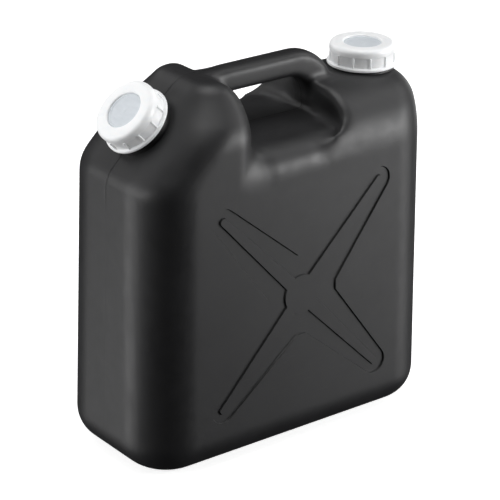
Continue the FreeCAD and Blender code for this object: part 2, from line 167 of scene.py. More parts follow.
def lathe(bm: bmesh.types.BMesh, corners: Sequence[Corner], steps: int, segments: int = 5) -> None:
    """Spin a profile of (radius, height, rounding) corners about Z.

    Args:
        bm: Receives the surface.
        corners: Profile corners in order, mm; the line closes on itself away from the axis.
        steps: Steps round the axis.
        segments: Segments in each rounded corner.
    """
    verts = [bm.verts.new((r, 0.0, h)) for r, h, _ in corners]
    face = bm.faces.new(verts)
    made = set(verts)
    for vert, (_, _, rounding) in zip(verts, corners):
        if rounding:
            done = bmesh.ops.bevel(bm, geom=[vert], offset=rounding, offset_type="OFFSET",
                                   segments=segments, profile=0.5, affect="VERTICES", material=-1)
            made |= set(done["verts"])
    face = next(f for v in made if v.is_valid for f in v.link_faces)
    edges = [e for e in face.edges if e.verts[0].co.x > 1e-6 or e.verts[1].co.x > 1e-6]
    axis = [e for e in face.edges if e not in edges]
    bmesh.ops.delete(bm, geom=[face], context="FACES_ONLY")
    bmesh.ops.delete(bm, geom=axis, context="EDGES")
    line = [e for e in edges if e.is_valid]
    points = list({v for e in line for v in e.verts})
    bmesh.ops.spin(bm, geom=points + line, cent=(0, 0, 0), axis=(0, 0, 1), dvec=(0, 0, 0),
                   angle=2 * math.pi, steps=steps, use_merge=True)


def helix(bm: bmesh.types.BMesh, profile: Sequence[tuple[float, float]], pitch: float,
          turns: float, steps: int = 72) -> None:
    """Sweep a thread ridge of (radius, height) corners up a helix, its ends closed.

    Args:
        bm: Receives the ridge.
        profile: Corners of the ridge's section, mm.
        pitch: Rise in one turn, mm.
        turns: Number of turns.
        steps: Steps in one turn.
    """
    verts = [bm.verts.new((r, 0.0, h)) for r, h in profile]
    face = bm.faces.new(verts)
    count = round(steps * turns)
    rise = Vector((0, 0, pitch / steps))
    bmesh.ops.spin(bm, geom=[face, *face.edges, *verts], cent=(0, 0, 0), axis=(0, 0, 1),
                   dvec=rise, angle=2 * math.pi * turns, steps=count)
    border = [e for e in bm.edges if e.is_boundary]
    bmesh.ops.holes_fill(bm, edges=border, sides=len(profile))


def extrude(bm: bmesh.types.BMesh, face: bmesh.types.BMFace, way: Corner) -> None:
    """Extrude a face to a prism and keep the face as its other end."""
    grown = bmesh.ops.extrude_face_region(bm, geom=[face], use_keep_orig=True)["geom"]
    moved = [v for v in grown if isinstance(v, bmesh.types.BMVert)]
    bmesh.ops.translate(bm, verts=moved, vec=way)


def relax(bm: bmesh.types.BMesh, verts: Sequence[bmesh.types.BMVert]) -> None:
    """Move vertices halfway to their neighbours' middle."""
    bmesh.ops.smooth_vert(bm, verts=verts, factor=0.5, use_axis_x=True, use_axis_y=True,
                          use_axis_z=True)


def bearing(v: Vector) -> float:
    """Angle of a vector in the XZ plane, from +X towards +Z."""
    return math.atan2(v.z, v.x)


class Outline:
    """One side of a block as a line of (value, height), its corners rounded."""

    def __init__(self, corners: Sequence[Corner]) -> None:
        """Round the corners.

        Args:
            corners: (value, height, radius) from the bottom up.
        """
        self.line: list[tuple[float, float]] = [corners[0][:2]]
        for before, here, after in zip(corners, corners[1:], corners[2:]):
            self._turn(Vector(before[:2]), Vector(here[:2]), Vector(after[:2]), here[2])
        self.line.append(corners[-1][:2])

    def _turn(self, before: Vector, here: Vector, after: Vector, radius: float) -> None:
        """Add one rounded corner in steps of about two degrees."""
        a = (before - here).normalized()
        b = (after - here).normalized()
        half = a.angle(b) / 2
        middle = here + (a + b).normalized() * (radius / math.sin(half))
        start = here + a * (radius / math.tan(half)) - middle
        end = here + b * (radius / math.tan(half)) - middle
        swing = -start.angle_signed(end)
        steps = max(2, round(abs(math.degrees(swing)) / 2))
        for k in range(steps + 1):
            spoke = Matrix.Rotation(swing * k / steps, 2) @ start
            self.line.append((middle.x + spoke.x, middle.y + spoke.y))

    def at(self, z: float) -> float:
        """Value of the line at height z."""
        for low, high in zip(self.line, self.line[1:]):
            if low[1] <= z <= high[1] and high[1] > low[1]:
                return low[0] + (high[0] - low[0]) * (z - low[1]) / (high[1] - low[1])
        return self.line[0][0] if z < self.line[0][1] else self.line[-1][0]


@dataclass(frozen=True)
class Slice:
    """One level of a block: a rounded rectangle, square to Z, mm."""

    z: float
    x0: float
    x1: float
    y: float
    r0: float
    r1: float

    def ring(self, bm: bmesh.types.BMesh, segments: int) -> list[bmesh.types.BMEdge]:
        """Make the slice's loop from a circle.

        Args:
            bm: Receives the loop.
            segments: Segments in the loop, a multiple of four.

        Returns:
            The loop's edges.
        """
        made = bmesh.ops.create_circle(bm, cap_ends=False, radius=1.0, segments=segments)["verts"]
        bmesh.ops.rotate(bm, verts=made, cent=(0, 0, 0),
                         matrix=Matrix.Rotation(math.pi / segments, 3, "Z"))
        for vert in made:
            right = vert.co.x > 0
            radius = self.r1 if right else self.r0
            x = self.x1 - radius if right else self.x0 + radius
            y = math.copysign(self.y - radius, vert.co.y)
            vert.co = (x + radius * vert.co.x, y + radius * vert.co.y, self.z)
        return list({e for v in made for e in v.link_edges})


def loft(bm: bmesh.types.BMesh, rings: Sequence[list[bmesh.types.BMEdge]]) -> None:
    """Bridge a stack of loops and close its two ends.

    Args:
        bm: Holds the loops.
        rings: The loops' edges, in order.
    """
    for low, high in zip(rings, rings[1:]):
        bmesh.ops.bridge_loops(bm, edges=low + high)
    for end in (rings[0], rings[-1]):
        bmesh.ops.contextual_create(bm, geom=end)


def put_in_frame(mesh: bpy.types.Mesh, name: str, body: str, nodes: Sequence[str],
                 material: bpy.types.Material, sharp: float) -> bpy.types.Object:
    """Make the finished piece from a mesh in mm.

    Args:
        mesh: The piece's mesh, already in place, in mm.
        name: Name of the piece.
        body: Body that it rides on.
        nodes: Nodes that it stands for.
        material: Its finish.
        sharp: Edges that turn more than this many degrees stay sharp.

    Returns:
        The piece.
    """
    mesh.transform(Matrix.Scale(MM, 4))
    mesh.name = name
    mesh.materials.clear()
    mesh.materials.append(material)
    mesh.shade_smooth()
    mesh.set_sharp_from_angle(angle=math.radians(sharp))
    piece = bpy.data.objects.new(name, mesh)
    bpy.context.scene.collection.objects.link(piece)
    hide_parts(*nodes)
    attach(piece, body)
    log.info("%s: %d faces on %s", name, len(mesh.polygons), body)
    return piece


# ---------------------------------------------------------------- finishes


class Nodes:
    """Small helper that adds and links the nodes of one material."""

    def __init__(self, name: str) -> None:
        """Start a material with one Principled shader."""
        self.material = bpy.data.materials.new(name)
        self.material.use_nodes = True
        self.tree = self.material.node_tree
        self.shader = self.tree.nodes["Principled BSDF"]
        self.place = self.add("ShaderNodeTexCoord").outputs["Object"]

    def add(self, kind: str, **values) -> bpy.types.Node:
        """Add a node and set its sockets or properties by name.

        Args:
            kind: Node type.
            values: Socket default, link source or property by name; "_" stands for a space.

        Returns:
            The node.
        """
        node = self.tree.nodes.new(kind)
        for key, value in values.items():
            socket = node.inputs.get(key.replace("_", " "))
            if socket is None:
                setattr(node, key, value)
            else:
                self.put(socket, value)
        return node

    def put(self, socket: bpy.types.NodeSocket, value: Source | Sequence[float]) -> None:
        """Link a socket to another one, or give it a number, a vector or a colour."""
        if isinstance(value, bpy.types.NodeSocket):
            self.tree.links.new(value, socket)
        elif socket.type == "RGBA":
            socket.default_value = (*value, 1.0)[:4]
        else:
            socket.default_value = value

    def math(self, operation: str, *values: Source) -> bpy.types.NodeSocket:
        """Add a Math node.

        Args:
            operation: Its operation.
            values: Its inputs, each a number or a socket.

        Returns:
            Its output.
        """
        node = self.tree.nodes.new("ShaderNodeMath")
        node.operation = operation
        for socket, value in zip(node.inputs, values):
            self.put(socket, value)
        return node.outputs[0]

    def noise(self, scale: float, detail: float = 2.0, stretch: Sequence[float] = (1, 1, 1),
              turn: Sequence[float] = (0, 0, 0)) -> bpy.types.NodeSocket:
        """Add a noise pattern on object coordinates.

        Args:
            scale: Pattern scale, per metre.
            detail: Octaves.
            stretch: Scale along each axis.
            turn: Turn of the pattern about each axis, radians.

        Returns:
            The noise factor.
        """
        mapping = self.add("ShaderNodeMapping", Vector=self.place, Scale=stretch, Rotation=turn)
        return self.add("ShaderNodeTexNoise", Vector=mapping.outputs[0], Scale=scale,
                        Detail=detail).outputs["Fac"]

    def span(self, value: Source, low: float, high: float, to_low: float,
             to_high: float) -> bpy.types.NodeSocket:
        """Map a value's range to another, clamped.

        Args:
            value: The value.
            low: Start of its range.
            high: End of its range.
            to_low: Start of the new range.
            to_high: End of the new range.

        Returns:
            The mapped value.
        """
        return self.add("ShaderNodeMapRange", Value=value, From_Min=low, From_Max=high,
                        To_Min=to_low, To_Max=to_high).outputs[0]

    def mix(self, factor: Source, first: Source | Corner, second: Source | Corner
            ) -> bpy.types.NodeSocket:
        """Mix two colours.

        Args:
            factor: Share of the second.
            first: First colour.
            second: Second colour.

        Returns:
            The mixed colour.
        """
        node = self.tree.nodes.new("ShaderNodeMix")
        node.data_type = "RGBA"
        for index, value in ((0, factor), (6, first), (7, second)):
            self.put(node.inputs[index], value)
        return node.outputs[2]

    def bump(self, height: Source, distance: float,
             below: bpy.types.NodeSocket | None = None) -> bpy.types.NodeSocket:
        """Add a bump of the given depth on top of another.

        Args:
            height: Height between 0 and 1.
            distance: Depth in metres.
            below: Normal that it is added to.

        Returns:
            The new normal.
        """
        node = self.add("ShaderNodeBump", Height=height, Distance=distance, Strength=1.0)
        if below is not None:
            self.put(node.inputs["Normal"], below)
        return node.outputs[0]

    def dress(self, **sockets) -> bpy.types.Material:
        """Set or link the shader's sockets by name and return the material."""
        for key, value in sockets.items():
            self.put(self.shader.inputs[key.replace("_", " ")], value)
        return self.material


@dataclass(frozen=True)
class BlackPolyethylene:
    """Satin blow-moulded polyethylene with a soft grain, a parting line darkened by painted shade
    in its groove, and light handling wear.
    """

    deep: tuple[float, float, float] = (0.0130, 0.0130, 0.0140)
    pale: tuple[float, float, float] = (0.0170, 0.0170, 0.0182)
    scuff: tuple[float, float, float] = (0.050, 0.050, 0.051)
    # Near-black painted shade laid into the parting groove.
    groove_painted_shade: tuple[float, float, float] = (0.002, 0.002, 0.002)
    gloss: float = 0.43
    matt: float = 0.50
    grain_depth: float = 0.00002
    swell_depth: float = 0.00005
    seam_half: float = 0.0011
    seam_low: float = 0.255
    seam_depth: float = 0.00025

    def material(self) -> bpy.types.Material:
        """Build the finish."""
        n = Nodes("black_polyethylene")
        broad = n.noise(14.0, 3.0)
        blotch = n.noise(75.0, 4.0)
        grain = n.noise(1500.0, 2.0)
        swell = n.noise(160.0, 2.0)
        scratch = self._scratches(n)
        edge = n.span(n.add("ShaderNodeNewGeometry").outputs["Pointiness"], 0.53, 0.62, 0.0, 1.0)
        wear = n.math("MULTIPLY", edge, n.span(blotch, 0.45, 0.7, 0.0, 0.6))
        marks = n.math("MAXIMUM", n.math("MULTIPLY", scratch, 0.5), wear)
        colour = n.mix(n.span(broad, 0.3, 0.7, 0.0, 1.0), self.deep, self.pale)
        colour = n.mix(marks, colour, self.scuff)
        seam = self._seam(n)
        # Painted shade: the parting groove is darkened almost to black, as if shadowed.
        colour = n.mix(n.math("MULTIPLY", seam, 0.9), colour, self.groove_painted_shade)
        rough = n.span(blotch, 0.3, 0.7, self.gloss, self.matt)
        rough = n.math("ADD", rough, n.math("MULTIPLY", marks, 0.12))
        normal = n.bump(swell, self.swell_depth)
        normal = n.bump(grain, self.grain_depth, normal)
        normal = n.bump(seam, -self.seam_depth, normal)
        normal = n.bump(scratch, -0.00001, normal)
        return n.dress(Base_Color=colour, Roughness=rough, Normal=normal, Specular_IOR_Level=0.5,
                       IOR=1.51)

    def _seam(self, n: Nodes) -> bpy.types.NodeSocket:
        """Fine parting groove on the can's middle plane, faint below the top; it shapes the groove
        and sets where painted shade darkens it.
        """
        place = n.add("ShaderNodeSeparateXYZ", Vector=n.place)
        across = n.math("ABSOLUTE", place.outputs["Y"])
        upper = n.span(place.outputs["Z"], self.seam_low, self.seam_low + 0.02, 0.12, 1.0)
        groove = n.span(across, self.seam_half / 3, self.seam_half, 1.0, 0.0)
        return n.math("MULTIPLY", groove, upper)

    def _scratches(self, n: Nodes) -> bpy.types.NodeSocket:
        """Sparse hairline scratches in three directions."""
        lines = 0.0
        for turn in ((0.2, 0.9, 0.1), (0.5, -0.5, 0.3), (1.2, 0.3, -0.6)):
            streak = n.noise(40.0, 2.0, (1.0, 30.0, 30.0), turn)
            patch = n.noise(9.0, 1.0, turn=turn)
            line = n.math("MULTIPLY", n.span(streak, 0.70, 0.76, 0.0, 1.0),
                          n.span(patch, 0.5, 0.6, 0.0, 1.0))
            lines = n.math("MAXIMUM", lines, line)
        return lines


@dataclass(frozen=True)
class MilkyPolyethylene:
    """Milky, faintly see-through polyethylene of the screw rings, with a faint painted glow from
    its emission.
    """

    name: str = "milky_polyethylene"
    clear: tuple[float, float, float] = (0.88, 0.90, 0.92)
    cloudy: tuple[float, float, float] = (0.94, 0.95, 0.96)
    gloss: float = 0.30
    matt: float = 0.42
    scatter: float = 0.5
    scatter_depth: float = 0.004
    # Emission strength: a painted glow that brightens the plastic as if light shone through it.
    glow: float = 0.07

    def material(self) -> bpy.types.Material:
        """Build the finish."""
        n = Nodes(self.name)
        cloud = n.noise(120.0, 3.0)
        flow = n.noise(60.0, 2.0, (1.0, 1.0, 6.0))
        grain = n.noise(1800.0, 2.0)
        mixed = n.span(n.math("ADD", cloud, flow), 0.7, 1.3, 0.0, 1.0)
        colour = n.mix(mixed, self.clear, self.cloudy)
        rough = n.span(cloud, 0.3, 0.7, self.gloss, self.matt)
        normal = n.bump(cloud, 0.00006)
        normal = n.bump(grain, 0.000012, normal)
        # The emission set below is a painted glow, not a lamp.
        return n.dress(Base_Color=colour, Roughness=rough, Normal=normal, IOR=1.51,
                       Subsurface_Weight=self.scatter, Subsurface_Scale=self.scatter_depth,
                       Subsurface_Radius=(1.0, 1.0, 1.0), Emission_Color=(1, 1, 1, 1),
                       Emission_Strength=self.glow)


@dataclass(frozen=True)
class SoftRubber:
    """Matt rubber of the gaskets, with a fine talc bloom."""

    deep: tuple[float, float, float] = (0.030, 0.030, 0.030)
    bloom: tuple[float, float, float] = (0.10, 0.10, 0.10)

    def material(self) -> bpy.types.Material:
        """Build the finish."""
        n = Nodes("soft_rubber")
        cloud = n.noise(220.0, 4.0)
        colour = n.mix(n.span(cloud, 0.4, 0.8, 0.0, 0.6), self.deep, self.bloom)
        normal = n.bump(n.noise(1500.0, 2.0), 0.00003)
        return n.dress(Base_Color=colour, Roughness=n.span(cloud, 0.3, 0.7, 0.6, 0.8),
                       Normal=normal)


@dataclass(frozen=True)
class PaleFloor:
    """Plain pale studio floor, lit a little from within so that it stays even."""

    tone: tuple[float, float, float] = (0.90, 0.90, 0.90)
    glow: float = 0.75

    def material(self) -> bpy.types.Material:
        """Build the finish."""
        n = Nodes("pale_floor")
        cloud = n.noise(3.0, 2.0)
        colour = n.mix(cloud, self.tone, tuple(0.99 * t for t in self.tone))
        return n.dress(Base_Color=colour, Roughness=0.75, Specular_IOR_Level=0.2,
                       Emission_Color=(1, 1, 1, 1), Emission_Strength=self.glow)


# ---------------------------------------------------------------- tank


@dataclass
class Tank:
    """Blow-moulded tank: tapered body, pouring hump, shoulder, finger valley and hollow grip.

    Sizes are in mm, on the can's own frame.
    """

    length: float = 340.0
    depth: float = 160.7
    taper_x: float = 3.4 / 260.0
    taper_y: float = 4.2 / 260.0
    edge_r: float = 48.8
    foot_r: float = 32.0
    split_z: float = 274.0
    overlap: float = 12.0
    top_z: float = 365.0
    crown: float = 0.4
    slant_rise: float = 451.4
    slant_r: float = 25.0
    hump_right: float = -46.5
    hump_r: float = 25.0
    hip_z: float = 327.0
    hip_top_y: float = 38.6
    hip_r: float = 35.0
    shoulder_z: float = 334.0
    shoulder_left: float = 57.0
    shoulder_rim_r: float = 9.0
    shoulder_end_r: float = 23.0
    shoulder_arch_r: float = 58.0
    ear_x: float = 28.0
    pocket_x: float = 59.5
    pocket_y: float = 65.6
    pocket_flare: float = 0.167
    pocket_r: float = 12.0
    pocket_low: float = 290.2
    valley_z: float = 304.2
    valley_fall: float = 2.0
    lip_y: float = 60.0
    lip_r: float = 25.0
    lip_lean: float = 2.0
    valley_reach: float = 105.0
    grip_w: float = 24.0
    grip_h: float = 23.5
    grip_top_r: float = 8.0
    grip_low_r: float = 6.0
    grip_left: float = -76.0
    leg_out_x: float = 44.0
    leg_out_r: float = 46.0
    leg_in_x: float = 35.5
    leg_in_r: float = 22.5
    leg_low_z: float = 312.0
    voxel: float = 2.3
    segments: int = 96
    grip_segments: int = 48
    foot_steps: int = 14
    bend_steps: int = 20
    level_count: int = 40
    fade: float = 9.0
    zone: float = 14.0
    all_over_rounds: int = 3
    flank_rounds: int = 60
    pocket_rounds: int = 40
    grip_rounds: int = 9

    def half_length(self, z: float) -> float:
        """Half the outside length at height z."""
        return self.length / 2 - self.taper_x * z

    def half_depth(self, z: float) -> float:
        """Half the outside depth at height z."""
        return self.depth / 2 - self.taper_y * z

    def lower_body(self, bm: bmesh.types.BMesh) -> None:
        """Tapered box with rounded uprights and a rounded foot."""
        rings = []
        levels = []
        for k in range(self.foot_steps + 1):
            t = math.pi / 2 * k / self.foot_steps
            levels.append((self.foot_r * (1 - math.cos(t)), self.foot_r * (1 - math.sin(t))))
        for z, inset in levels + [(self.split_z, 0.0)]:
            x, radius = self.half_length(z) - inset, self.edge_r - inset
            rings.append(Slice(z, -x, x, self.half_depth(z) - inset, radius, radius)
                         .ring(bm, self.segments))
        loft(bm, rings)

    def raised(self, bm: bmesh.types.BMesh, left: Outline, right: Outline, side: Outline,
               r0: float, r1: float, top: float) -> None:
        """Loft a block up from the split along three outlines.

        Args:
            bm: Receives the block.
            left: Outline of its -X side.
            right: Outline of its +X side.
            side: Outline of its half depth.
            r0: Radius of its -X uprights.
            r1: Radius of its +X uprights.
            top: Height of its top.
        """
        rise = top - self.split_z
        heights = [self.split_z - self.overlap]
        for k in range(self.level_count + 1):
            heights.append(self.split_z + rise * math.sin(math.pi / 2 * k / self.level_count))
        rings = []
        for z in heights:
            tuck = self.overlap / 4 if z < self.split_z else 0.0
            y = side.at(z) - tuck
            x0 = left.at(z) + tuck
            x1 = right.at(z) - tuck
            share = y / side.at(self.split_z)
            fit = min(1.0, 0.94 * (x1 - x0) / ((r0 + r1) * share), 0.94 * y / (max(r0, r1) * share))
            rings.append(Slice(z, x0, x1, y, r0 * share * fit, r1 * share * fit)
                         .ring(bm, self.segments))
        loft(bm, rings)

    def hump(self, bm: bmesh.types.BMesh) -> None:
        """Slanted pouring hump with its sloping hips."""
        top = self.top_z + self.crown
        bend_x = -(self.length / 2 - self.taper_x * self.slant_rise) / (1 - self.taper_x)
        mid_x = (top - self.slant_rise + self.hump_right) / 2
        left = Outline([(-self.half_length(self.split_z), self.split_z, 0),
                        (bend_x, bend_x + self.slant_rise, self.slant_r),
                        (top - self.slant_rise, top, self.slant_r), (mid_x, top, 0)])
        right = Outline([(self.hump_right, self.split_z, 0), (self.hump_right, top, self.hump_r),
                         (mid_x, top, 0)])
        side = Outline([(self.half_depth(self.split_z), self.split_z, 0),
                        (self.half_depth(self.hip_z), self.hip_z, self.hip_r),
                        (self.hip_top_y, top, self.hump_r), (0, top, 0)])
        self.raised(bm, left, right, side, self.edge_r, self.hump_r, self.top_z)

    def shoulder(self, bm: bmesh.types.BMesh) -> None:
        """Arched shoulder that carries the filling mouth."""
        top = self.shoulder_z + self.crown
        mid_x = (self.shoulder_left + self.half_length(top)) / 2
        left = Outline([(self.ear_x, self.split_z, 0), (self.ear_x, top, self.shoulder_rim_r),
                        (mid_x, top, 0)])
        right = Outline([(self.half_length(self.split_z), self.split_z, 0),
                         (self.half_length(top), top, self.shoulder_end_r), (mid_x, top, 0)])
        side = Outline([(self.half_depth(self.split_z), self.split_z, 0),
                        (self.half_depth(top), top, self.shoulder_arch_r), (0, top, 0)])
        self.raised(bm, left, right, side, self.shoulder_rim_r, self.edge_r, self.shoulder_z)

    def pocket(self, bm: bmesh.types.BMesh) -> None:
        """Finger pocket that is cut from the shoulder and leaves an ear at front and back."""
        start = self.ear_x - self.pocket_r
        wide = self.pocket_y + self.pocket_flare * (self.pocket_x - start)
        verts = [bm.verts.new((start, -wide, self.pocket_low)),
                 bm.verts.new((self.pocket_x, -self.pocket_y, self.pocket_low)),
                 bm.verts.new((self.pocket_x, self.pocket_y, self.pocket_low)),
                 bm.verts.new((start, wide, self.pocket_low))]
        bm.faces.new(verts)
        bmesh.ops.bevel(bm, geom=verts[1:3], offset=self.pocket_r, offset_type="OFFSET",
                        segments=12, profile=0.5, affect="VERTICES", material=-1)
        extrude(bm, next(iter(bm.faces)), (0, 0, self.top_z - self.pocket_low))

    def valley(self, bm: bmesh.types.BMesh) -> None:
        """Finger valley: a faint ridge that rolls over a lip to front and back."""
        base_y = self.half_depth(self.split_z)
        edge_y = base_y - self.lip_lean
        edge_z = self.valley_z - self.valley_fall * edge_y / self.lip_y
        low = self.split_z - self.overlap
        profile = [(-base_y, low), (-base_y, self.split_z), (-edge_y, edge_z), (0.0, self.valley_z),
                   (edge_y, edge_z), (base_y, self.split_z), (base_y, low)]
        verts = [bm.verts.new((-self.valley_reach, y, z)) for y, z in profile]
        face = bm.faces.new(verts)
        lips = [verts[2], verts[4]]
        bmesh.ops.bevel(bm, geom=lips, offset=self.lip_r * 0.93, offset_type="OFFSET", segments=14,
                        profile=0.5, affect="VERTICES", material=-1)
        face = next(f for f in verts[0].link_faces)
        extrude(bm, face, (2 * self.valley_reach, 0, 0))

    def grip(self, bm: bmesh.types.BMesh) -> None:
        """Hand grip whose +X end bends down into the shoulder."""
        out_z = self.top_z - self.leg_out_r
        in_z = self.top_z - self.grip_h - self.leg_in_r
        stations = [((self.grip_left, self.top_z), (self.grip_left, self.top_z - self.grip_h))]
        for k in range(self.bend_steps + 1):
            t = math.pi / 2 * k / self.bend_steps
            stations.append(((self.leg_out_x + self.leg_out_r * math.sin(t),
                              out_z + self.leg_out_r * math.cos(t)),
                             (self.leg_in_x + self.leg_in_r * math.sin(t),
                              in_z + self.leg_in_r * math.cos(t))))
        stations.append(((self.leg_out_x + self.leg_out_r, self.leg_low_z),
                         (self.leg_in_x + self.leg_in_r, self.leg_low_z)))
        rings = [self.station(bm, Vector((a[0], 0, a[1])), Vector((b[0], 0, b[1])))
                 for a, b in stations]
        loft(bm, rings)

    def station(self, bm: bmesh.types.BMesh, outer: Vector, inner: Vector
                ) -> list[bmesh.types.BMEdge]:
        """One loop of the grip between its outer and inner line.

        Args:
            bm: Receives the loop.
            outer: Point on the outer line.
            inner: Point on the inner line.

        Returns:
            The loop's edges.
        """
        half = (outer - inner).length / 2
        up = (outer - inner).normalized()
        middle = (outer + inner) / 2
        made = bmesh.ops.create_circle(bm, cap_ends=False, radius=1.0,
                                       segments=self.grip_segments)["verts"]
        bmesh.ops.rotate(bm, verts=made, cent=(0, 0, 0),
                         matrix=Matrix.Rotation(math.pi / self.grip_segments, 3, "Z"))
        for vert in made:
            radius = self.grip_top_r if vert.co.y > 0 else self.grip_low_r
            y = math.copysign(self.grip_w / 2 - radius, vert.co.x) + radius * vert.co.x
            rise = math.copysign(half - radius, vert.co.y) + radius * vert.co.y
            vert.co = middle + Vector((0, y, 0)) + up * rise
        return list({e for v in made for e in v.link_edges})

    def block(self, build: Callable[[bmesh.types.BMesh], None]) -> bpy.types.Mesh:
        """Run one block's builder and return its mesh."""
        bm = bmesh.new()
        build(bm)
        return to_mesh(bm, "block")

    def skin(self) -> bpy.types.Mesh:
        """Melt the blocks into one skin and soften its creases."""
        solid = bmesh.new()
        for block in (self.lower_body, self.hump, self.shoulder, self.valley, self.grip):
            part = self.block(block)
            if block == self.shoulder:
                part = combined(part, self.block(self.pocket), Union.CUT)
            solid.from_mesh(part)
        mesh = bpy.data.meshes.new("blocks")
        solid.to_mesh(mesh)
        solid.free()
        bm = bmesh.new()
        bm.from_mesh(evaluated(mesh, "REMESH", mode="VOXEL", voxel_size=self.voxel,
                               use_smooth_shade=True))
        for _ in range(self.all_over_rounds):
            relax(bm, bm.verts)
        for depth, rounds in ((self.by_flank, self.flank_rounds),
                              (self.by_pocket, self.pocket_rounds),
                              (self.by_grip, self.grip_rounds)):
            near = [(v, depth(v.co)) for v in bm.verts]
            for k in range(rounds):
                relax(bm, [v for v, inside in near if inside > self.fade * k / rounds])
        return to_mesh(bm, "skin")

    def by_flank(self, p: Vector) -> float:
        """How far a point lies inside the zone round the foot of the hump's flank, mm."""
        low = self.split_z - self.overlap
        return min(20.0 - abs(p.x - self.hump_right), p.z - low, self.valley_z + self.zone - p.z)

    def by_pocket(self, p: Vector) -> float:
        """How far a point lies inside the zone round the finger pocket, mm."""
        level = min(p.z - 280.0, self.shoulder_z + self.zone - p.z, self.pocket_x + self.zone - p.x)
        at_end = min(p.x - self.pocket_x + self.zone, abs(p.y) - self.grip_w / 2 - 5.0)
        at_ear = min(p.x - self.ear_x + self.zone, abs(p.y) - 52.0)
        return min(level, max(at_end, at_ear))

    def by_grip(self, p: Vector) -> float:
        """How far a point lies inside the zones at both ends of the grip, mm."""
        narrow = self.grip_w / 2 + 10.0 - abs(p.y)
        at_leg = min(p.x - 50.0, 98.0 - p.x, p.z - 322.0, 344.0 - p.z)
        at_hump = min(12.0 - abs(p.x - self.hump_right), p.z - 334.0)
        return min(narrow, max(at_leg, at_hump))


